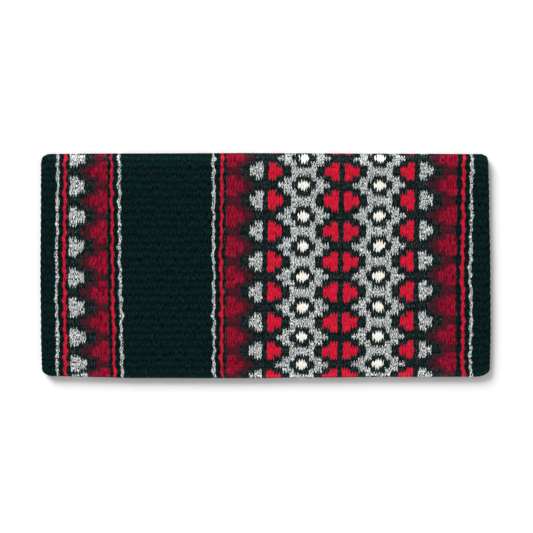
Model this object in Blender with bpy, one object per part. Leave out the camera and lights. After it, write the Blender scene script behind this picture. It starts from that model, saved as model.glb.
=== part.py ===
# A western saddle blanket: one heavy cloth of ribbed wool, folded once along the line of the back.
# It lies flat with the fold at +Y and both hems at -Y. Metres, +Z up, origin at the middle of its
# footprint on the surface below.
import math
from collections import namedtuple

import bmesh
import bpy

# The folded outline
WIDTH = 0.9164
DEPTH = 0.4584

# The weave: ribs run along X, and the cloth is thickest at their crests
RIB_PITCH = 0.01545
RIB_RISE = 0.0015
RIB_POWER = 0.7  # how full a rib is: 1 would be a plain half wave
FACE_HALF = 0.0036  # middle of the cloth to a crest
BACK_HALF = 0.0030  # middle of the cloth to its plain face inside the fold

# How the two layers lie
LAYER_GAP = 0.0010
FOLD_RADIUS = 0.0052  # of the middle of the cloth, round the fold
FOLD_SETTLE = 0.060  # the upper layer comes down from the fold over this length
UNDER_SET_IN = 0.0012  # the lower layer's sides lie this far inside the upper one's

# Towards the fold and the hem the ribs lie closer together than in the middle
FOLD_DRAW, FOLD_DRAW_FROM, FOLD_DRAW_POWER = 0.0085, 0.150, 2.4
HEM_DRAW, HEM_DRAW_FROM, HEM_DRAW_POWER = 0.0090, 0.127, 1.3

# Where on a rib its points lie, from one groove (0) to the next (1)
UPPER_STEPS = (0.0, 0.2, 0.5, 0.8)
UNDER_STEPS = (0.0, 0.25, 0.75)  # the lower face's crests are pressed flat between the last two
FOLD_STEPS = 8

# Rounding at the hems and sides
EDGE_ROUND = 0.0045
EDGE_LEFT = 0.35  # share of the thickness left at the very edge
EDGE_STEPS = (0.0, 0.0006, 0.0020, 0.0045)
SIDE_STEPS = (0.0, 0.0008, 0.0028, 0.0085, 0.0180)
SCALLOP = 0.0012  # the side edge is drawn in this far at each groove
SIDE_BOW_REACH = 0.150
PULL_REACH = 0.060

# Sections across the width. fold_in, hem_in and lower_in say how far the fold, the upper hem and
# the lower hem lie inside the outline, and crown how far the upper layer stands off the lower one.
Section = namedtuple("Section", "x fold_in hem_in lower_in crown")
SECTIONS = (
    Section(x=-0.4300, fold_in=0.0016, hem_in=0.0040, lower_in=0.0052, crown=0.0004),
    Section(x=-0.3400, fold_in=0.0010, hem_in=0.0022, lower_in=0.0030, crown=0.0014),
    Section(x=-0.2700, fold_in=0.0007, hem_in=0.0002, lower_in=0.0016, crown=0.0010),
    Section(x=-0.0400, fold_in=0.0000, hem_in=0.0000, lower_in=0.0010, crown=0.0003),
    Section(x=0.0900, fold_in=0.0005, hem_in=0.0012, lower_in=0.0016, crown=0.0012),
    Section(x=0.2200, fold_in=0.0011, hem_in=0.0023, lower_in=0.0030, crown=0.0006),
    Section(x=0.4200, fold_in=0.0019, hem_in=0.0028, lower_in=0.0042, crown=0.0010),
)

# The side edges bow: how far each lies inside the outline, from the hem to the fold
Side = namedtuple("Side", "y left_in right_in")
SIDES = (
    Side(y=-0.2292, left_in=0.0030, right_in=0.0016),
    Side(y=-0.2050, left_in=0.0025, right_in=0.0010),
    Side(y=-0.1340, left_in=0.0010, right_in=0.0000),
    Side(y=-0.0160, left_in=0.0000, right_in=0.0006),
    Side(y=0.1370, left_in=0.0008, right_in=0.0029),
    Side(y=0.2292, left_in=0.0016, right_in=0.0050),
)

# Each corner is a quarter of an ellipse
Corner = namedtuple("Corner", "wide tall")
FOLD_CORNERS = {"left": Corner(0.019, 0.014), "right": Corner(0.017, 0.012)}
HEM_CORNERS = {"left": Corner(0.022, 0.016), "right": Corner(0.030, 0.017)}

WOOL_COLOUR = (0.0038, 0.0135, 0.0145, 1.0)
WOOL_ROUGHNESS = 0.95

UNDER_MIDDLE = FACE_HALF
UPPER_MIDDLE = FACE_HALF + 2 * BACK_HALF + LAYER_GAP
FOLD_MIDDLE = UNDER_MIDDLE + FOLD_RADIUS
FOLD_START = DEPTH / 2 - FOLD_RADIUS - FACE_HALF

# One point of the cloth's middle line in a plain section, with the way its outer face looks, how
# high its rib stands there, its distance from its hem, and whether the inner face has a point too.
Spot = namedtuple("Spot", "upper y z out_y out_z rib hem inner")


def clear_scene():
    for thing in list(bpy.data.objects):
        bpy.data.objects.remove(thing, do_unlink=True)


def smooth(share):
    share = min(max(share, 0.0), 1.0)
    return share * share * (3 - 2 * share)


def read(rows, column, key, at):
    """One column of a table at a place between its rows."""
    if at <= getattr(rows[0], key):
        return getattr(rows[0], column)
    for low, high in zip(rows, rows[1:]):
        start, end = getattr(low, key), getattr(high, key)
        if at <= end:
            share = (at - start) / (end - start)
            return getattr(low, column) * (1 - share) + getattr(high, column) * share
    return getattr(rows[-1], column)


def drawn(y):
    """How far the weave is drawn together between the middle of the layer and y."""
    fold_past = max(0.0, y - FOLD_DRAW_FROM) / (DEPTH / 2 - FOLD_DRAW_FROM)
    hem_past = max(0.0, -y - HEM_DRAW_FROM) / (DEPTH / 2 - HEM_DRAW_FROM)
    return FOLD_DRAW * fold_past**FOLD_DRAW_POWER - HEM_DRAW * hem_past**HEM_DRAW_POWER


def rib_at(y):
    return (y + drawn(y)) / RIB_PITCH


def rib_line(number):
    """The y of a rib's groove, or of a place between two grooves."""
    low, high = -DEPTH / 2, DEPTH / 2
    for _ in range(40):
        middle = (low + high) / 2
        if rib_at(middle) < number:
            low = middle
        else:
            high = middle
    return (low + high) / 2


def rib_height(number):
    """0 in a groove, 1 on a crest, round between."""
    return abs(math.sin(math.pi * number)) ** RIB_POWER


def layer_spots(upper, steps):
    """The spots of one layer, from its hem to the fold."""
    hem_y = -DEPTH / 2
    edge = hem_y + EDGE_STEPS[-1]
    first = math.floor(rib_at(edge))
    last = math.ceil(rib_at(FOLD_START))
    places = [(hem_y + step, True) for step in EDGE_STEPS]
    for number in range(first, last + 1):
        for step in steps:
            y = rib_line(number + step)
            if edge + EDGE_STEPS[1] < y < FOLD_START - RIB_PITCH / 8:
                places.append((y, step == steps[0]))
    spots = []
    for y, inner in places:
        height = rib_height(rib_at(y))
        if not upper:
            height = min(1.0, height / rib_height(UNDER_STEPS[1]))
        settled = smooth((FOLD_START - y) / FOLD_SETTLE)
        fold_z = FOLD_MIDDLE + FOLD_RADIUS
        z = fold_z + (UPPER_MIDDLE - fold_z) * settled if upper else UNDER_MIDDLE
        out_z = 1.0 if upper else -1.0
        spots.append(Spot(upper, y, z, 0.0, out_z, height, y - hem_y, inner))
    return spots


def fold_spots():
    """The spots round the fold, from the upper layer to the lower one."""
    ribs_round = math.pi * FOLD_RADIUS / RIB_PITCH
    spots = []
    for step in range(FOLD_STEPS + 1):
        share = step / FOLD_STEPS
        turn = math.pi * share
        y = FOLD_START + FOLD_RADIUS * math.sin(turn)
        z = FOLD_MIDDLE + FOLD_RADIUS * math.cos(turn)
        height = rib_height(rib_at(FOLD_START) + ribs_round * share)
        if step == FOLD_STEPS:
            height = 1.0
        upper = share < 0.5
        inner = step % 2 == 0
        spots.append(Spot(upper, y, z, math.sin(turn), math.cos(turn), height, DEPTH, inner))
    return spots


def hairpin():
    """The whole middle line: upper hem, fold, lower hem."""
    over = layer_spots(True, UPPER_STEPS)
    under = layer_spots(False, UNDER_STEPS)
    return over + fold_spots() + under[::-1]


def round_off(distance):
    """The share of the thickness left at this distance from an edge."""
    inside = 1 - min(max(distance, 0.0) / EDGE_ROUND, 1.0)
    return EDGE_LEFT + (1 - EDGE_LEFT) * math.sqrt(1 - inside * inside)


def corner_pull(corner, distance):
    """How far a corner's arc lies behind the straight edge, this far from the side."""
    inside = 1 - min(distance / corner.wide, 1.0)
    return corner.tall * (1 - math.sqrt(1 - inside * inside))


def stations():
    """Places across the width, each with its distance from the side that it is nearest to."""
    left = [("left", -WIDTH / 2 + step, step) for step in SIDE_STEPS]
    middle = [("left" if row.x < 0 else "right", row.x, WIDTH / 2 - abs(row.x)) for row in SECTIONS]
    right = [("right", WIDTH / 2 - step, step) for step in reversed(SIDE_STEPS)]
    return left + middle + right


def place(spot, side, x, distance, outer):
    """The point of the outer or inner face at one spot of one station."""
    fold_in = read(SECTIONS, "fold_in", "x", x) + corner_pull(FOLD_CORNERS[side], distance)
    hem_column = "hem_in" if spot.upper else "lower_in"
    hem_in = read(SECTIONS, hem_column, "x", x) + corner_pull(HEM_CORNERS[side], distance)
    near_fold = smooth(1 - (FOLD_START - spot.y) / PULL_REACH)
    near_hem = smooth(1 - spot.hem / PULL_REACH)
    y = spot.y - fold_in * near_fold + hem_in * near_hem

    z = spot.z
    if spot.upper:
        settled = smooth((FOLD_START - spot.y) / FOLD_SETTLE)
        z += read(SECTIONS, "crown", "x", x) * settled * (1 - near_hem)

    offset = FACE_HALF - RIB_RISE * (1 - spot.rib) if outer else -BACK_HALF
    offset *= round_off(distance) * round_off(spot.hem)

    left_in = read(SIDES, "left_in", "y", spot.y)
    right_in = read(SIDES, "right_in", "y", spot.y)
    set_in = UNDER_SET_IN * smooth((FOLD_MIDDLE - spot.z) / FOLD_RADIUS)
    scallop = SCALLOP * (1 - spot.rib) * max(0.0, 1 - distance / SIDE_STEPS[2])
    fade_left = max(0.0, 1 - (x + WIDTH / 2) / SIDE_BOW_REACH)
    fade_right = max(0.0, 1 - (WIDTH / 2 - x) / SIDE_BOW_REACH)
    x += (left_in + set_in) * fade_left - (right_in + set_in) * fade_right
    x += scallop if side == "left" else -scallop
    return (x, y + offset * spot.out_y, z + offset * spot.out_z)


def centred(points):
    """The points moved so that the outline's middle stands on the origin."""
    shifts = []
    for axis in (0, 1):
        values = [point[axis] for point in points]
        shifts.append((min(values) + max(values)) / 2)
    return [(x - shifts[0], y - shifts[1], z) for x, y, z in points]


def blanket_mesh():
    spots = hairpin()
    inner = [index for index, spot in enumerate(spots) if spot.inner]
    points = []
    for side, x, distance in stations():
        points += [place(spot, side, x, distance, True) for spot in spots]
        points += [place(spots[index], side, x, distance, False) for index in inner]

    bm = bmesh.new()
    verts = [bm.verts.new(point) for point in centred(points)]
    ring = len(spots) + len(inner)
    rings = [verts[start : start + ring] for start in range(0, len(verts), ring)]

    # A section's outline: along the outer face, and back along the inner one
    loops = [one[: len(spots)] + one[len(spots) :][::-1] for one in rings]
    for here, there in zip(loops, loops[1:]):
        for index in range(ring):
            after = (index + 1) % ring
            bm.faces.new((here[index], there[index], there[after], here[after]))

    # The sides close with one small face at the end of each rib
    for one, way in ((rings[0], 1), (rings[-1], -1)):
        for number, (start, end) in enumerate(zip(inner, inner[1:])):
            back = one[len(spots) + number], one[len(spots) + number + 1]
            bm.faces.new([*one[start : end + 1], back[1], back[0]][::way])

    mesh = bpy.data.meshes.new("blanket")
    bm.to_mesh(mesh)
    bm.free()
    mesh.shade_smooth()
    mesh.set_sharp_from_angle(angle=math.radians(50))
    return mesh


def wool():
    material = bpy.data.materials.new("wool")
    material.use_nodes = True
    shader = material.node_tree.nodes["Principled BSDF"]
    shader.inputs["Base Color"].default_value = WOOL_COLOUR
    shader.inputs["Roughness"].default_value = WOOL_ROUGHNESS
    shader.inputs["Metallic"].default_value = 0.0
    material.diffuse_color = WOOL_COLOUR
    return material


def build_blanket():
    blanket = bpy.data.objects.new("blanket", blanket_mesh())
    blanket.data.materials.append(wool())
    bpy.context.scene.collection.objects.link(blanket)
    return blanket


clear_scene()
build_blanket()
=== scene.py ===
import math
from collections import namedtuple

import bpy
import numpy as np
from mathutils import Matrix, Vector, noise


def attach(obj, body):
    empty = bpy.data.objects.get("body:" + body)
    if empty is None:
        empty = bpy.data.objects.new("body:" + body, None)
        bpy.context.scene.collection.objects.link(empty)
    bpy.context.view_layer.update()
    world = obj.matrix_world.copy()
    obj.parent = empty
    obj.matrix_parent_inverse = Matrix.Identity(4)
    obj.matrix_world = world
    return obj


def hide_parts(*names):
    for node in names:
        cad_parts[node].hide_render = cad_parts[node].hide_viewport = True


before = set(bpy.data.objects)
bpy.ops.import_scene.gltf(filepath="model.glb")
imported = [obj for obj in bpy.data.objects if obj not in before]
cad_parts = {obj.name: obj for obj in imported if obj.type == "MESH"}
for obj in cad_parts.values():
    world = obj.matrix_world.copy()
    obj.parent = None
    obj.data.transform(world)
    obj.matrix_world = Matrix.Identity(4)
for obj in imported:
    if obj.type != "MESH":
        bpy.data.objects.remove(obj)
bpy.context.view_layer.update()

bpy.context.scene.view_settings.view_transform = "Standard"


# the cloth, in metres: one heavy ribbed blanket folded once, fold at +Y, both hems at -Y
blanket = {
    "width": 0.9164,          # folded outline
    "depth": 0.4584,
    "flatLength": 0.916,      # hem to hem, opened out
    "ribPitch": 0.01545,
    "ribRise": 0.0015,        # groove to crest
    "ribPower": 0.7,          # how full a rib is
    "ribDip": (0.03, 0.12),   # the dip along a crest, between its two warps: how deep and half how wide
    "pressedFlat": 0.84,      # how much of a crest is left underneath
    "faceHalf": 0.0036,       # middle of the cloth to a crest
    "backHalf": 0.0030,       # middle of the cloth to the face inside the fold
    "layerGap": 0.0010,
    "foldRadius": 0.0052,
    "foldSettle": 0.060,      # the upper layer comes down from the fold over this length
    "foldPeek": 0.22,         # ribs: the pattern comes round the fold a little early
    "underSetIn": 0.0012,     # lower layer's sides, inside the upper one's
    "edgeRound": 0.0045,
    "edgeLeft": 0.35,         # share of the thickness left at the very edge
    "scallop": 0.0012,        # sides drawn in at each groove
    "scallopReach": 0.0028,
    "sideBowReach": 0.150,
    "pullReach": 0.060,
    "foldDraw": (0.0085, 0.150, 2.4),    # ribs drawn together: how far, from where, how sharply
    "hemDraw": (0.0090, 0.127, 1.3),
    "upperRows": 9,           # rows of faces to a rib
    "lowerRows": 5,
    "foldRows": 18,
    "columns": 100,
    "edgeSteps": (0.0, 0.0006, 0.0020, 0.0045),
    # ribs are uneven: by what share of their rise, or how far they wander from straight in metres, then
    # how often that changes in a metre along and from rib to rib, and its seed
    "unevenRib": (0.10, 9.0, 3.1, 4.0),
    "wanderRib": (0.0005, 6.0, 0.35, 9.0),
}

# across the width: how far the fold and each hem lie inside the outline, and how the upper layer lifts
sections = {
    "x":       (-0.430, -0.340, -0.270, -0.040, 0.090, 0.220, 0.420),
    "foldIn":  (0.0016, 0.0010, 0.0007, 0.0000, 0.0005, 0.0011, 0.0019),
    "hemIn":   (0.0040, 0.0022, 0.0002, 0.0000, 0.0012, 0.0023, 0.0028),
    "lowerIn": (0.0052, 0.0030, 0.0016, 0.0010, 0.0016, 0.0030, 0.0042),
    "crown":   (0.0004, 0.0014, 0.0010, 0.0003, 0.0012, 0.0006, 0.0010),
}

# from the hem to the fold: how far each side lies inside the outline
sides = {
    "y":       (-0.2292, -0.2050, -0.1340, -0.0160, 0.1370, 0.2292),
    "leftIn":  (0.0030, 0.0025, 0.0010, 0.0000, 0.0008, 0.0016),
    "rightIn": (0.0016, 0.0010, 0.0000, 0.0006, 0.0029, 0.0050),
}

# corners, each a quarter of an ellipse: wide, tall
foldCorners = {"left": (0.019, 0.014), "right": (0.017, 0.012)}
hemCorners = {"left": (0.022, 0.016), "right": (0.030, 0.017)}

# the bands don't run quite straight: how far they lean to the right at the fold, halfway and at the hem
leans = {
    "x":      (-0.424, -0.407, -0.382, -0.341, -0.312, -0.298, -0.105, -0.088,
               -0.020, 0.077, 0.153, 0.230, 0.320, 0.358, 0.402, 0.419),
    "fold":   (0.0014, -0.0004, 0.0014, -0.0004, -0.0013, -0.0002, -0.0006, 0.0003,
               0.0012, 0.0028, 0.0038, 0.0028, 0.0012, 0.0037, 0.0049, 0.0043),
    "middle": (-0.0004, -0.0022, -0.0024, -0.0020, 0.0002, 0.0019, -0.0009, -0.0015,
               -0.0018, -0.0006, -0.0006, 0.0000, -0.0017, -0.0014, -0.0015, -0.0029),
    "hem":    (-0.0004, -0.0003, 0.0032, 0.0038, 0.0046, 0.0068, 0.0005, -0.0004,
               -0.0024, -0.0029, -0.0016, -0.0019, -0.0021, -0.0004, -0.0005, -0.0014),
}

# nor do the ribs: how far they rise towards the fold, near it, halfway and near the hem
rises = {
    "x":      (-0.380, -0.090, -0.044, -0.009, 0.025, 0.060, 0.180, 0.260, 0.325, 0.390),
    "fold":   (0.0010, -0.0010, 0.0016, 0.0040, 0.0014, 0.0010, -0.0002, 0.0012, 0.0014, 0.0000),
    "middle": (-0.0011, 0.0000, 0.0003, 0.0002, 0.0002, -0.0002, 0.0004, 0.0012, 0.0034, 0.0040),
    "hem":    (0.0012, 0.0020, 0.0014, 0.0010, 0.0014, 0.0000, 0.0014, 0.0022, 0.0040, 0.0056),
}


def smooth(share):
    share = np.clip(share, 0.0, 1.0)
    return share * share * (3 - 2 * share)


def read(table, column, key, at):    # one column of a table, eased between its rows
    keys, values = np.array(table[key]), np.array(table[column])
    at = np.clip(at, keys[0], keys[-1])
    low = np.clip(np.searchsorted(keys, at) - 1, 0, len(keys) - 2)
    share = smooth((at - keys[low]) / (keys[low + 1] - keys[low]))
    return values[low] * (1 - share) + values[low + 1] * share


def strayOf(table, x, y):    # how far a place strays, by one of the two tables above
    foldShare, hemShare = max(0.0, y / -hemY), max(0.0, y / hemY)
    found = read(table, "middle", "x", x) * (1 - foldShare - hemShare)
    return found + read(table, "fold", "x", x) * foldShare + read(table, "hem", "x", x) * hemShare


underMiddle = blanket["faceHalf"]
upperMiddle = blanket["faceHalf"] + 2 * blanket["backHalf"] + blanket["layerGap"]
foldMiddle = underMiddle + blanket["foldRadius"]
foldStart = blanket["depth"] / 2 - blanket["foldRadius"] - blanket["faceHalf"]
hemY = -blanket["depth"] / 2


def drawn(y):
    foldDraw, foldFrom, foldPower = blanket["foldDraw"]
    hemDraw, hemFrom, hemPower = blanket["hemDraw"]
    half = blanket["depth"] / 2
    foldPast = max(0.0, y - foldFrom) / (half - foldFrom)
    hemPast = max(0.0, -y - hemFrom) / (half - hemFrom)
    return foldDraw * foldPast ** foldPower - hemDraw * hemPast ** hemPower


def ribAt(y):    # ribs counted from the middle of the upper layer
    return (y + drawn(y)) / blanket["ribPitch"]


ribsRound = math.pi * blanket["foldRadius"] / blanket["ribPitch"]
ribsAtFold = ribAt(foldStart)
ribsAtHem = ribAt(hemY)
lastRib = 2 * ribsAtFold + ribsRound - ribsAtHem
firstU, ribsInMap, firstRib = 0.5, 64, -17      # how the weave's map counts: u is metres, v is ribs


# one row of points: its layer, where it is on the middle line, which way its outer face looks, its rib,
# and how far along the cloth its hem is
clothRow = namedtuple("clothRow", "upper y z outY outZ rib fromHem")


def clothRows():
    rows = []

    def layer(upper, perRib):
        steps = blanket["edgeSteps"]
        places = [hemY + step for step in steps]
        count = round((foldStart - hemY - steps[-1]) / blanket["ribPitch"] * perRib)
        start = hemY + steps[-1]
        places += [start + (foldStart - start) * step / count for step in range(1, count)]
        foldZ = foldMiddle + blanket["foldRadius"]
        found = []
        for y in places:
            settled = float(smooth((foldStart - y) / blanket["foldSettle"]))
            z = foldZ + (upperMiddle - foldZ) * settled if upper else underMiddle
            rib = ribAt(y) if upper else 2 * ribsAtFold + ribsRound - ribAt(y)
            found.append(clothRow(upper, y, z, 0.0, 1.0 if upper else -1.0, rib, y - hemY))
        return found

    rows += layer(True, blanket["upperRows"])
    farFromHem = 1.0
    for step in range(blanket["foldRows"] + 1):
        share = step / blanket["foldRows"]
        turn = math.pi * share
        y = foldStart + blanket["foldRadius"] * math.sin(turn)
        z = foldMiddle + blanket["foldRadius"] * math.cos(turn)
        rib = ribsAtFold + ribsRound * share
        rows.append(clothRow(share < 0.5, y, z, math.sin(turn), math.cos(turn), rib, farFromHem))
    rows += layer(False, blanket["lowerRows"])[::-1]
    return rows


def clothColumns():
    half, steps = blanket["width"] / 2, blanket["edgeSteps"]
    left = [-half + step for step in steps]
    inner = np.linspace(-half + steps[-1], half - steps[-1], blanket["columns"] + 1)[1:-1]
    return np.array(left + list(inner) + [half - step for step in reversed(steps)])


def roundOff(distance):
    inside = 1 - np.clip(distance / blanket["edgeRound"], 0.0, 1.0)
    return blanket["edgeLeft"] + (1 - blanket["edgeLeft"]) * np.sqrt(1 - inside * inside)


def cornerPull(corners, x):
    half = blanket["width"] / 2
    wide = np.where(x < 0, corners["left"][0], corners["right"][0])
    tall = np.where(x < 0, corners["left"][1], corners["right"][1])
    inside = 1 - np.clip((half - np.abs(x)) / wide, 0.0, 1.0)
    return tall * (1 - np.sqrt(1 - inside * inside))


def drift(x, often, along, seed):    # soft noise along a row of points, from about -0.5 to 0.5
    return np.array([noise.noise(Vector((at * often, along, seed))) for at in x])


def ribHeight(rib, upper, x):    # from 0 in a groove to 1 on a crest
    dipDeep, dipHalf = blanket["ribDip"]
    crest = abs(math.sin(math.pi * rib)) ** blanket["ribPower"]
    crest -= dipDeep * max(0.0, 1 - abs((rib % 1.0) - 0.5) / dipHalf)
    if not upper:
        return np.full(len(x), min(1.0, crest / blanket["pressedFlat"]))
    share, inMetre, inRib, seed = blanket["unevenRib"]
    return crest * (1 - share * (0.5 + drift(x, inMetre, math.floor(rib) * inRib, seed)))


def nearEnds(row):    # how near a row is to the fold and to its hem, 1 right at them
    nearFold = smooth(1 - (foldStart - row.y) / blanket["pullReach"])
    nearHem = smooth(1 - row.fromHem / blanket["pullReach"])
    return float(nearFold), float(nearHem)


def rowPoints(row, x, outer):
    upper, y, z, outY, outZ, rib, fromHem = row
    half = blanket["width"] / 2
    side = half - np.abs(x)
    nearFold, nearHem = nearEnds(row)
    foldIn = read(sections, "foldIn", "x", x) + cornerPull(foldCorners, x)
    hemIn = read(sections, "hemIn" if upper else "lowerIn", "x", x) + cornerPull(hemCorners, x)
    newY = y - foldIn * nearFold + hemIn * nearHem
    newZ = np.full(len(x), z)
    if upper:
        settled = float(smooth((foldStart - y) / blanket["foldSettle"]))
        newZ += read(sections, "crown", "x", x) * settled * (1 - nearHem)
        far, inMetre, inRib, seed = blanket["wanderRib"]
        wandered = far * drift(x, inMetre, rib * inRib, seed) + strayOf(rises, x, y)
        newY += wandered * (1 - nearHem) * (1 - nearFold)

    high = ribHeight(rib, upper, x)
    offset = np.full(len(x), -blanket["backHalf"])
    if outer:
        offset = blanket["faceHalf"] - blanket["ribRise"] * (1 - high)
    offset = offset * roundOff(side) * roundOff(fromHem)

    setIn = blanket["underSetIn"] * float(smooth((foldMiddle - z) / blanket["foldRadius"]))
    leftIn = read(sides, "leftIn", "y", y) + setIn
    rightIn = read(sides, "rightIn", "y", y) + setIn
    scallop = blanket["scallop"] * (1 - high) * np.clip(1 - side / blanket["scallopReach"], 0.0, 1.0)
    newX = x + leftIn * np.clip(1 - (x + half) / blanket["sideBowReach"], 0.0, 1.0)
    newX -= rightIn * np.clip(1 - (half - x) / blanket["sideBowReach"], 0.0, 1.0)
    newX -= np.sign(x) * scallop
    return np.stack([newX, newY + offset * outY, newZ + offset * outZ], 1)


def weavePlaces(row, x):    # where each point lies in the weave: metres across, and ribs from the middle
    nearFold, nearHem = nearEnds(row)
    rib = row.rib + blanket["foldPeek"] * float(smooth(row.rib - ribsAtFold + 0.5))
    # where the outline holds the ribs straight, the pattern strays on them instead
    held = 1 - (1 - nearFold) * (1 - nearHem) if row.upper else nearFold
    ribs = rib - strayOf(rises, x, row.y) * held / blanket["ribPitch"]
    u = x - strayOf(leans, x, row.y) + firstU
    return np.stack([u, (ribs - firstRib) / ribsInMap], 1)


def makeBlanket():
    rows, x = clothRows(), clothColumns()
    bpy.ops.object.select_all(action="DESELECT")
    bpy.ops.mesh.primitive_grid_add(x_subdivisions=len(x) - 1, y_subdivisions=len(rows) - 1, size=1.0)
    cloth = bpy.context.object
    cloth.name = cloth.data.name = "blanketCloth"

    # Solidify gives the flat cloth its second face, at any thickness, and closes the edges between them
    thick = cloth.modifiers.new("secondFace", "SOLIDIFY")
    thick.thickness, thick.offset = 0.01, -1.0
    bpy.ops.object.modifier_apply(modifier=thick.name)
    mesh = cloth.data
    count = len(x) * len(rows)
    assert len(mesh.vertices) == 2 * count

    # then every row of both faces is laid along the fold, with its ribs
    outerPlaces = np.concatenate([rowPoints(row, x, True) for row in rows])
    innerPlaces = np.concatenate([rowPoints(row, x, False) for row in rows])
    weave = np.concatenate([weavePlaces(row, x) for row in rows])
    places = np.concatenate([outerPlaces, innerPlaces])
    places[:, :2] -= (outerPlaces[:, :2].min(0) + outerPlaces[:, :2].max(0)) / 2
    mesh.vertices.foreach_set("co", places.astype(np.float32).ravel())
    mesh.update()

    corners = np.zeros(len(mesh.loops), np.int32)
    mesh.loops.foreach_get("vertex_index", corners)
    weaveMap = mesh.uv_layers[0]
    weaveMap.name = "weave"
    weaveMap.data.foreach_set("uv", weave[corners % count].astype(np.float32).ravel())
    bpy.ops.object.shade_smooth()
    return cloth


cloth = makeBlanket()
print("cloth laid out:", len(cloth.data.polygons), "faces")


# the yarns, as sRGB colours: the darkest and the lightest that each one shows along its wefts, then which
# mixture of noises leads from one to the other, and between which values. warmBlack is where the dye of
# the ground took differently, and lint is hairs of the other yarns on the black between blocks
yarns = {
    "black": ((0, 9, 11), (13, 44, 46), "mixed", (0.62, 0.88)),
    "warmBlack": ((3, 8, 9), (19, 40, 41), "mixed", (0.62, 0.88)),
    "lint": ((30, 36, 38), (116, 108, 108), "streaked", (0.35, 0.65)),
    "red": ((158, 8, 28), (227, 36, 65), "mixed", (0.58, 0.88)),
    "wine": ((82, 0, 12), (172, 29, 59), "blended", (0.82, 1.20)),
    "maroon": ((22, 24, 28), (98, 28, 42), "mixed", (0.58, 0.92)),
    "cream": ((224, 215, 202), (255, 253, 244), "flecked", (0.50, 0.74)),
    "grey": ((18, 29, 27), (249, 255, 252), "flecked", (0.578, 0.776)),
}

# soft noises: how often each one changes in a metre across and in a rib, its seed and its detail
noises = {
    "streak": (480.0, 0.8, 4.0, 2.0),
    "fleck": (820.0, 3.2, 5.0, 2.0),
    "longFleck": (760.0, 2.0, 7.0, 2.0),
    "fibre": (900.0, 5.0, 12.0, 3.0),
    "hair": (620.0, 2.8, 14.0, 2.0),
    "patch": (75.0, 1.1, 13.0, 1.0),
    "slit": (340.0, 0.0, 17.0, 1.0),
    "worn": (40.0, 0.9, 15.0, 1.0),
    "toothLength": (7.3, 0.8, 2.0, 1.0),       # this one and the next change from tooth to tooth
    "unevenTooth": (5.7, 0.6, 6.0, 2.0),
    "strayBlock": (22.0, 0.35, 3.0, 2.0),
    "blockSway": (40.0, 0.9, 0.0, 2.0),
    "raggedSide": (2.0, 90.0, 11.0, 2.0),      # this one's rib comes first
    "weftSway": (60.0, 0.6, 8.0, 2.0),
    "stripeSway": (30.0, 0.35, 9.0, 2.0),
    "stripeJitter": (90.0, 1.7, 16.0, 2.0),
    "stripeWidth": (30.0, 1.0, 10.0, 2.0),
}
noiseSpan = (0.3, 0.7)      # the values that they mostly take

# the weave of the wool, in metres and ribs
weaving = {
    "comb": 0.0055,           # two wefts: one tooth of the comb along a block's edge
    "toothReach": 0.21,       # ribs, each way
    "toothLength": (0.6, 1.6),    # the shortest and the longest, as shares of that
    "unevenTooth": 0.20,      # ribs
    "softTooth": 0.35,        # how much of its teeth wine and maroon show
    "strayBlock": 0.22,       # ribs that a block's ends stray
    "blockSway": 0.0042,      # metres across that the sides of the blocks and the stripes stray
    "stripeSway": 0.0036,
    "stripeJitter": 0.0014,
    "stripeFuzz": 0.0008,
    "stripeBead": (0.78, 1.06),   # how wide a stripe is in a groove and on a crest
    "stripeWidth": 0.65,      # and how much wider or narrower it may be
    "wornStripe": 0.22,       # how much a red stripe darkens here and there
    "wornSpan": (0.4, 0.6),
    "weftSway": 0.0040,       # metres that a weft strays
    "raggedEnd": 0.16,        # ribs, where wine fades into maroon and black
    "raggedSide": 0.0015,
    "cleanEdge": (0.0003, 0.04),      # how softly a block ends: metres at its sides, ribs at its ends
    "softEdge": {"wine": (0.0012, 0.14), "maroon": (0.0022, 0.32)},
    "repeat": 4,              # ribs from one row of eyes to the next
    "eyeRow": 2.46,           # rib on which a row of eyes is centred
    "bandMiddle": 0.1524,     # of the wide band, metres from the blanket's middle
    "bandSquash": (1.010, 0.990),    # its left and right halves aren't quite equal
    "diamond": 0.0771,        # a column of diamonds, metres from the band's middle
    "bandSpans": [(-0.402, -0.320), (-0.083, 0.388)],    # where there is lint on the black
    "streakShare": {"mixed": 0.5, "flecked": 0.3},    # how much two of the yarns' mixtures have of it
    "lintShare": 0.62,
    "hairSpan": (0.52, 0.66),
    "patchSpan": (0.42, 0.58),
    "zigzag": 0.0011,         # stripes step this far to one side and the other, rib by rib
    "hemSlit": 0.28,          # ribs: how far up from a hem the ground shows between its wefts
    "slitSpan": (0.46, 0.60),
    "slitEdge": 0.06,         # ribs
    "grooveShade": 0.58,      # how dark the black wool looks down in a groove
    "colourShade": (0.94, 0.7),   # and the other yarns, up to which share of a crest
    "weftShade": (0.84, 0.5),     # between two wefts, up to which share of a weft's half width
    "paintedGroundLight": (1.22, 6.0),    # painted light: how much paler the black is painted at the fold, and over how many ribs
    "paintedEdgeLight": 1.45,          # painted light: how much paler every yarn is painted where it bends round the fold or ends
    "foldEdgeLightSpan": (0.55, 1.9),     # and from how many ribs away it fades, to how many
    "foldFront": (0.05, 0.25),    # the very front of the fold has none of this painted light
    "hemEdgeLightSpan": (0.1, 1.0),
    "beadPower": (0.5, 0.2),  # how full the beads are at their sides and at their ends
    "beadHeight": 0.6,        # shares of the bump
    "fibreHeight": 0.6,
    "bumpDepth": 0.0011,
    "roughness": 0.95,
    "specular": 0.03,
    "sheen": 0.03,
    "sheenRoughness": 0.3,
}

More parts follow.
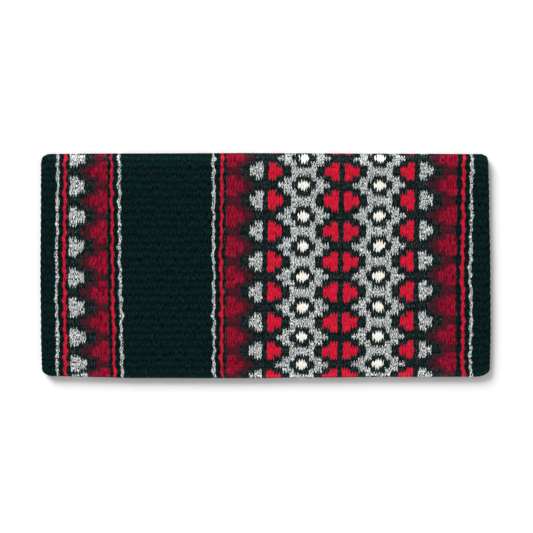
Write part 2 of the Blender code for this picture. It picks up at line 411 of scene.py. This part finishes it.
# stripes run from hem to hem: their middle and width in millimetres from the blanket's middle, and which
# way and how far each one steps on even ribs
stripes = [
    dict(yarn="grey", middle=-424.1, wide=6.0, step=0.5),
    dict(yarn="red", middle=-407.6, wide=7.0, step=1.2),
    dict(yarn="red", middle=-311.6, wide=5.0, step=-0.9),
    dict(yarn="grey", middle=-297.7, wide=5.9, step=-1.0),
    dict(yarn="grey", middle=-105.0, wide=5.9, step=1.1),
    dict(yarn="red", middle=-88.2, wide=6.1, step=1.1),
    dict(yarn="red", middle=402.2, wide=7.3, step=0.9),
    dict(yarn="grey", middle=419.3, wide=6.6, step=1.0),
]

# the wide band, mirrored on its middle. near and far are millimetres from the middle, row says on which
# rows of the repeat a block sits, and reach how many ribs the tips of its teeth are from that row
wideBand = [
    dict(yarn="maroon", near=204.6, far=230.8, row="eyes", reach=2.6),
    dict(yarn="maroon", near=189.0, far=206.0, row="eyes", reach=1.14),
    dict(yarn="maroon", near=178.0, far=191.0, row="eyes", reach=0.46),
    dict(yarn="red", near=5.5, far=20.0, row="between", reach=1.42),
    dict(yarn="red", near=20.0, far=35.2, row="between", reach=0.84),
    dict(yarn="red", near=120.4, far=134.0, row="between", reach=0.84),
    dict(yarn="red", near=134.0, far=148.2, row="between", reach=1.44),
    dict(yarn="grey", near=159.2, far=174.2, row="between", reach=1.40),
    dict(yarn="grey", near=174.2, far=185.8, row="between", reach=0.79),
    dict(yarn="wine", near=198.7, far=214.0, row="eyes", reach=0.79),
    dict(yarn="wine", near=214.0, far=233.6, row="eyes", reach=1.43),
]

# a column of diamonds, mirrored on its own middle
diamonds = [
    dict(yarn="grey", near=25.2, far=40.1, row="eyes", reach=1.28),
    dict(yarn="grey", near=40.1, far=53.3, row="eyes", reach=0.50),
    dict(yarn="grey", near=14.9, far=25.0, row="between", reach=1.62),
    dict(yarn="grey", near=-1.0, far=25.3, row="between", reach=0.79),
    dict(yarn="cream", near=-1.0, far=11.4, row="eyes", reach=0.55),
    dict(yarn="cream", near=-1.0, far=5.4, row="eyes", reach=0.84),
]

# the narrow band at the left, in millimetres from the blanket's middle. its grey comes again at the hems
narrowBand = [
    dict(yarn="maroon", near=-347.3, far=-324.5, row="between", reach=2.6),
    dict(yarn="maroon", near=-364.5, far=-350.0, row="between", reach=1.08),
    dict(yarn="maroon", near=-376.0, far=-362.0, row="between", reach=0.44),
    dict(yarn="grey", near=-398.3, far=-381.8, row="eyes", reach=1.40),
    dict(yarn="grey", near=-381.8, far=-367.8, row="eyes", reach=0.92),
    dict(yarn="grey", near=-396.5, far=-379.5, row="hem", reach=0.45),
    dict(yarn="grey", near=-379.5, far=-364.5, row="hem", reach=0.80),
    dict(yarn="wine", near=-354.8, far=-338.0, row="between", reach=0.77),
    dict(yarn="wine", near=-338.0, far=-321.0, row="between", reach=1.52),
]


def linear(colour):
    found = []
    for part in colour:
        part /= 255
        found.append(part / 12.92 if part <= 0.04045 else ((part + 0.055) / 1.055) ** 2.4)
    return (*found, 1.0)


# the small helpers below add their nodes to this tree
wool = bpy.data.materials.new("ribbedWool")
wool.use_nodes = True
tree = wool.node_tree


def feed(socket, value):
    if isinstance(value, bpy.types.NodeSocket):
        tree.links.new(value, socket)
    else:
        socket.default_value = value


def addNode(kind, *values, **settings):
    node = tree.nodes.new("ShaderNode" + kind)
    for setting, value in settings.items():
        setattr(node, setting, value)
    for socket, value in zip(node.inputs, values):
        feed(socket, value)
    return node


def maths(operation, *values):
    return addNode("Math", *values, operation=operation).outputs[0]


def ranged(value, fromLow, fromHigh, toLow, toHigh):
    return addNode("MapRange", value, fromLow, fromHigh, toLow, toHigh).outputs[0]


def times(value, number):
    return maths("MULTIPLY", value, number)


def ramp(value, span):    # 0 before the span, 1 past it
    return ranged(value, *span, 0.0, 1.0)


def wander(name, across, along):
    inMetre, inRib, seed, detail = noises[name]
    where = addNode("CombineXYZ", times(across, inMetre), times(along, inRib), seed).outputs[0]
    return addNode("TexNoise", where, 0.0, 1.0, detail).outputs["Fac"]


def stray(name, across, along):    # the same, as a distance either way, mostly within half of what is set
    return times(maths("SUBTRACT", wander(name, across, along), 0.5), weaving[name] * 2.5)


def paint(under, cover, colour):
    node = addNode("Mix", data_type="RGBA")    # whose two colours are its inputs 6 and 7
    feed(node.inputs[0], cover)
    feed(node.inputs[6], under)
    feed(node.inputs[7], colour)
    return node.outputs[2]


# where a point lies in the weave: metres across, ribs along, ribs from the nearest row of eyes and from
# the nearest hem, and the teeth there
def readWeave():
    weaveMap = addNode("UVMap", uv_map="weave").outputs[0]
    apart = addNode("SeparateXYZ", weaveMap).outputs
    straight = maths("SUBTRACT", apart[0], firstU)
    rib = maths("ADD", times(apart[1], ribsInMap), firstRib)

    comb = maths("PINGPONG", maths("DIVIDE", straight, weaving["comb"]), 0.5)
    tooth = maths("FLOOR", maths("DIVIDE", straight, weaving["comb"]))
    length = ranged(wander("toothLength", tooth, rib), *noiseSpan, *weaving["toothLength"])
    tip = times(ranged(comb, 0.0, 0.5, -weaving["toothReach"], weaving["toothReach"]), length)
    teeth = maths("ADD", tip, stray("unevenTooth", tooth, rib))
    strayed = maths("ADD", rib, stray("strayBlock", straight, rib))
    fromEyes = maths("PINGPONG", maths("SUBTRACT", strayed, weaving["eyeRow"]), weaving["repeat"] / 2)
    fromUpperHem = maths("ABSOLUTE", maths("SUBTRACT", rib, ribsAtHem))
    fromLowerHem = maths("ABSOLUTE", maths("SUBTRACT", rib, lastRib))
    fromHem = maths("MINIMUM", fromUpperHem, fromLowerHem)
    return straight, rib, fromEyes, fromHem, teeth


# every yarn runs from its darkest to its lightest, weft by weft
def spinYarns(straight, rib):
    weftLine = maths("ADD", straight, stray("weftSway", straight, rib))
    streak = wander("streak", weftLine, rib)
    fleck, longFleck = wander("fleck", weftLine, rib), wander("longFleck", weftLine, rib)
    mixtures = {
        "streaked": streak,
        "blended": maths("ADD", streak, longFleck),
        "mixed": maths("ADD", times(streak, weaving["streakShare"]["mixed"]), longFleck),
        "flecked": maths("ADD", times(streak, weaving["streakShare"]["flecked"]), fleck),
    }
    wools = {}
    for name, (dark, light, mixture, span) in yarns.items():
        wools[name] = paint(linear(dark), ramp(mixtures[mixture], span), linear(light))

    # the black ground: patches of warmer black, and lint inside the two bands
    patch = ramp(wander("patch", straight, rib), weaving["patchSpan"])
    ground = paint(wools["black"], patch, wools["warmBlack"])
    inBands = 0.0
    for near, far in weaving["bandSpans"]:
        inSpan = maths("COMPARE", straight, (near + far) / 2, (far - near) / 2)
        inBands = maths("MAXIMUM", inBands, inSpan)
    hairs = ranged(wander("hair", weftLine, rib), *weaving["hairSpan"], 0.0, weaving["lintShare"])
    wools["ground"] = paint(ground, maths("MULTIPLY", inBands, hairs), wools["lint"])
    return wools, weftLine, streak


# across and fromEyes are each a pair, clean and ragged. near and far become metres here, and cover says
# where the ground is covered
def layBlocks(colour, cover, blocks, across, fromEyes, fromHem, wools):
    for block in blocks:
        ragged = block["yarn"] in weaving["softEdge"]
        softSide, softEnd = weaving["softEdge"].get(block["yarn"], weaving["cleanEdge"])
        middle, half = (block["near"] + block["far"]) / 2000, (block["far"] - block["near"]) / 2000
        aside = maths("ABSOLUTE", maths("SUBTRACT", across[ragged], middle))
        inside = ranged(aside, half - softSide, half + softSide, 1.0, 0.0)
        share = weaving["softTooth"] if ragged else 1.0
        limit = block["reach"] - weaving["toothReach"] * share
        if block["row"] == "eyes":
            along = ranged(fromEyes[ragged], limit - softEnd, limit + softEnd, 1.0, 0.0)
        elif block["row"] == "hem":
            along = ranged(fromHem, limit - softEnd, limit + softEnd, 1.0, 0.0)
        else:
            limit = weaving["repeat"] / 2 - limit
            along = ranged(fromEyes[ragged], limit - softEnd, limit + softEnd, 0.0, 1.0)
        here = maths("MULTIPLY", inside, along)
        colour = paint(colour, here, wools[block["yarn"]])
        cover = maths("MAXIMUM", cover, here)
    return colour, cover


def layStripes(colour, cover, straight, rib, wools):
    strayed = maths("ADD", stray("stripeSway", straight, rib), stray("stripeJitter", straight, rib))
    strayed = maths("ADD", straight, strayed)
    worn = ranged(wander("worn", straight, rib), *weaving["wornSpan"], 1 - weaving["wornStripe"], 1.0)
    wave = maths("SINE", times(rib, math.pi))
    step = times(wave, weaving["zigzag"])    # to the right on even ribs
    full = ranged(maths("ABSOLUTE", wave), 0.0, 1.0, *weaving["stripeBead"])
    full = maths("ADD", full, stray("stripeWidth", straight, rib))
    fuzz = weaving["stripeFuzz"]
    for stripe in stripes:
        half = times(full, stripe["wide"] / 2000)
        stepped = maths("SUBTRACT", strayed, times(step, stripe["step"]))
        away = maths("ABSOLUTE", maths("SUBTRACT", stepped, stripe["middle"] / 1000))
        inside = ranged(maths("SUBTRACT", away, half), -fuzz, fuzz, 1.0, 0.0)
        if stripe["yarn"] == "red":
            inside = maths("MULTIPLY", inside, worn)
        colour = paint(colour, inside, wools[stripe["yarn"]])
        cover = maths("MAXIMUM", cover, inside)
    return colour, cover


def makeWool():
    straight, rib, fromEyes, fromHem, teeth = readWeave()
    wools, weftLine, streak = spinYarns(straight, rib)

    # wine and maroon have ragged edges, the other yarns clean ones
    swayed = maths("ADD", straight, stray("blockSway", straight, rib))
    across = (swayed, maths("ADD", swayed, stray("raggedSide", rib, straight)))
    softTeeth = times(maths("SUBTRACT", streak, 0.5), weaving["raggedEnd"] * 2)
    softTeeth = maths("ADD", softTeeth, times(teeth, weaving["softTooth"]))
    eyes = (maths("ADD", fromEyes, teeth), maths("ADD", fromEyes, softTeeth))
    hem = maths("ADD", fromHem, teeth)
    leftHalf, rightHalf = weaving["bandSquash"]

    def mirror(place):    # the wide band's two halves share one chart
        fromMiddle = maths("SUBTRACT", place, weaving["bandMiddle"])
        return maths("MAXIMUM", times(fromMiddle, -leftHalf), times(fromMiddle, rightHalf))

    inBand = (mirror(across[0]), mirror(across[1]))
    fromDiamond = maths("ABSOLUTE", maths("SUBTRACT", inBand[0], weaving["diamond"]))
    inDiamond = (fromDiamond, fromDiamond)
    colour, cover = layBlocks(wools["ground"], 0.0, narrowBand, across, eyes, hem, wools)
    colour, cover = layBlocks(colour, cover, wideBand, inBand, eyes, hem, wools)
    colour, cover = layBlocks(colour, cover, diamonds, inDiamond, eyes, hem, wools)
    colour, cover = layStripes(colour, cover, straight, rib, wools)

    # at the hems the last wefts part, and the ground shows in slits between them
    slitTop = ranged(wander("slit", weftLine, rib), *weaving["slitSpan"], 0.0, weaving["hemSlit"])
    slits = ramp(maths("SUBTRACT", slitTop, fromHem), (0.0, weaving["slitEdge"]))
    colour = paint(colour, slits, wools["ground"])

    # each weft shows as a bead over one warp, and the next row of beads is half a bead along
    halfRib = times(rib, 2.0)
    fromStart = maths("FLOOR", maths("ADD", halfRib, ribsInMap))    # never below 0
    shift = times(maths("MODULO", fromStart, 2.0), 0.5)
    pick = maths("ADD", maths("DIVIDE", weftLine, weaving["comb"]), shift)
    beadSide = times(maths("PINGPONG", pick, 0.5), 2.0)
    beadEnd = times(maths("PINGPONG", halfRib, 0.5), 2.0)
    sidePower, endPower = weaving["beadPower"]
    bead = maths("MULTIPLY", maths("POWER", beadSide, sidePower), maths("POWER", beadEnd, endPower))
    fibre = times(wander("fibre", weftLine, rib), weaving["fibreHeight"])
    height = maths("ADD", times(bead, weaving["beadHeight"]), fibre)

    # painted shade: grooves and the gaps between wefts are painted darker, most of all in the black wool,
    # and painted light makes the cloth paler at the fold and the hems
    crest = maths("ABSOLUTE", maths("SINE", times(rib, math.pi)))
    fromFold = maths("ABSOLUTE", maths("SUBTRACT", rib, ribsAtFold + ribsRound / 2))
    # painted light: the black is painted paler over the ribs next to the fold
    paintedGroundLight, paintedGroundLightRibs = weaving["paintedGroundLight"]
    groundShade = ranged(crest, 0.0, 1.0, weaving["grooveShade"], 1.0)
    groundShade = maths("MULTIPLY", groundShade, ranged(fromFold, 0.0, paintedGroundLightRibs, paintedGroundLight, 1.0))
    darkest, full = weaving["colourShade"]
    shade = ranged(cover, 0.0, 1.0, groundShade, ranged(crest, 0.0, full, darkest, 1.0))
    darkest, full = weaving["weftShade"]
    shade = times(shade, ranged(beadSide, 0.0, full, darkest, 1.0))
    # painted light: every yarn is painted paler round the fold and at the hems, but not on the fold's very
    # front
    shade = times(shade, ranged(fromFold, *weaving["foldFront"], 1 / weaving["paintedEdgeLight"], 1.0))
    for away, (near, far) in ((fromFold, weaving["foldEdgeLightSpan"]), (fromHem, weaving["hemEdgeLightSpan"])):
        shade = times(shade, ranged(away, near, far, weaving["paintedEdgeLight"], 1.0))
    shaded = addNode("VectorMath", colour, operation="SCALE")
    feed(shaded.inputs["Scale"], shade)

    shader = tree.nodes["Principled BSDF"]
    feed(shader.inputs["Base Color"], shaded.outputs[0])
    bump = addNode("Bump")
    bump.inputs["Distance"].default_value = weaving["bumpDepth"]
    feed(bump.inputs["Height"], height)
    feed(shader.inputs["Normal"], bump.outputs[0])
    shader.inputs["Roughness"].default_value = weaving["roughness"]
    shader.inputs["Specular IOR Level"].default_value = weaving["specular"]
    shader.inputs["Sheen Weight"].default_value = weaving["sheen"]
    shader.inputs["Sheen Roughness"].default_value = weaving["sheenRoughness"]


makeWool()
cloth.data.materials.clear()
cloth.data.materials.append(wool)
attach(cloth, "root")
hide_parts("blanket")
print("wool ready:", len(tree.nodes), "nodes")


# a pale floor, soft studio light from the upper left, and a camera straight above
studio = {
    "floorSize": 60.0,
    "floorDrop": 0.0003,
    "floorColour": (0.95, 0.95, 0.95, 1.0),
    "floorRoughness": 0.9,
    "skyColour": (1.0, 1.0, 1.0, 1.0),
    "skyStrength": 0.52,
    "keyFrom": (-1.05, 1.55, 1.0),       # the way to the low light, which falls on the floor alone
    "keyPower": 4.1,
    "keyWide": 36.0,                     # degrees across, as seen from the blanket
    "topFrom": (-0.20, 0.42, 1.0),       # and to the high one, which falls on the blanket
    "topPower": 2.1,
    "topWide": 70.0,
    "cameraHeight": 3.4,
    "photoWide": 533,
    "metresPerPixel": 0.002035,          # at the height of the blanket's edge
    "edgeHeight": 0.010,
    "blanketMiddle": (265.5, 265.5),     # where the photo's blanket has its middle, in pixels
}


def makeStudio():
    bpy.ops.object.select_all(action="DESELECT")
    bpy.ops.mesh.primitive_plane_add(size=studio["floorSize"], location=(0, 0, -studio["floorDrop"]))
    floor = bpy.context.object
    floor.name = "floor"
    paper = bpy.data.materials.new("paleFloor")
    paper.use_nodes = True
    paperShader = paper.node_tree.nodes["Principled BSDF"]
    paperShader.inputs["Base Color"].default_value = studio["floorColour"]
    paperShader.inputs["Roughness"].default_value = studio["floorRoughness"]
    floor.data.materials.append(paper)

    sky = bpy.data.worlds.new("studioSky")
    bpy.context.scene.world = sky
    sky.use_nodes = True
    skyLight = sky.node_tree.nodes["Background"]
    skyLight.inputs["Color"].default_value = studio["skyColour"]
    skyLight.inputs["Strength"].default_value = studio["skyStrength"]

    # the photo's shadow comes from a low light, but its ribs are lit softly from above
    for name, lit in (("key", floor), ("top", cloth)):
        bpy.ops.object.light_add(type="SUN", location=studio[name + "From"])
        light = bpy.context.object
        light.name = name + "Light"
        light.data.energy = studio[name + "Power"]
        light.data.angle = math.radians(studio[name + "Wide"])
        light.rotation_euler = Vector(studio[name + "From"]).to_track_quat("Z", "Y").to_euler()
        receivers = bpy.data.collections.new(name + "LightFallsOn")
        receivers.objects.link(lit)
        light.light_linking.receiver_collection = receivers

    # the photo's frame, with the blanket's middle where it is there
    half = studio["photoWide"] / 2
    scale = studio["metresPerPixel"]
    cameraX = (half - studio["blanketMiddle"][0]) * scale
    cameraY = (studio["blanketMiddle"][1] - half) * scale
    bpy.ops.object.camera_add(location=(cameraX, cameraY, studio["cameraHeight"]), rotation=(0, 0, 0))
    camera = bpy.context.object
    camera.name = "photoCamera"
    frameWide = studio["photoWide"] * scale
    camera.data.lens = (studio["cameraHeight"] - studio["edgeHeight"]) / frameWide * camera.data.sensor_width
    bpy.context.scene.camera = camera


makeStudio()
print("studio ready")
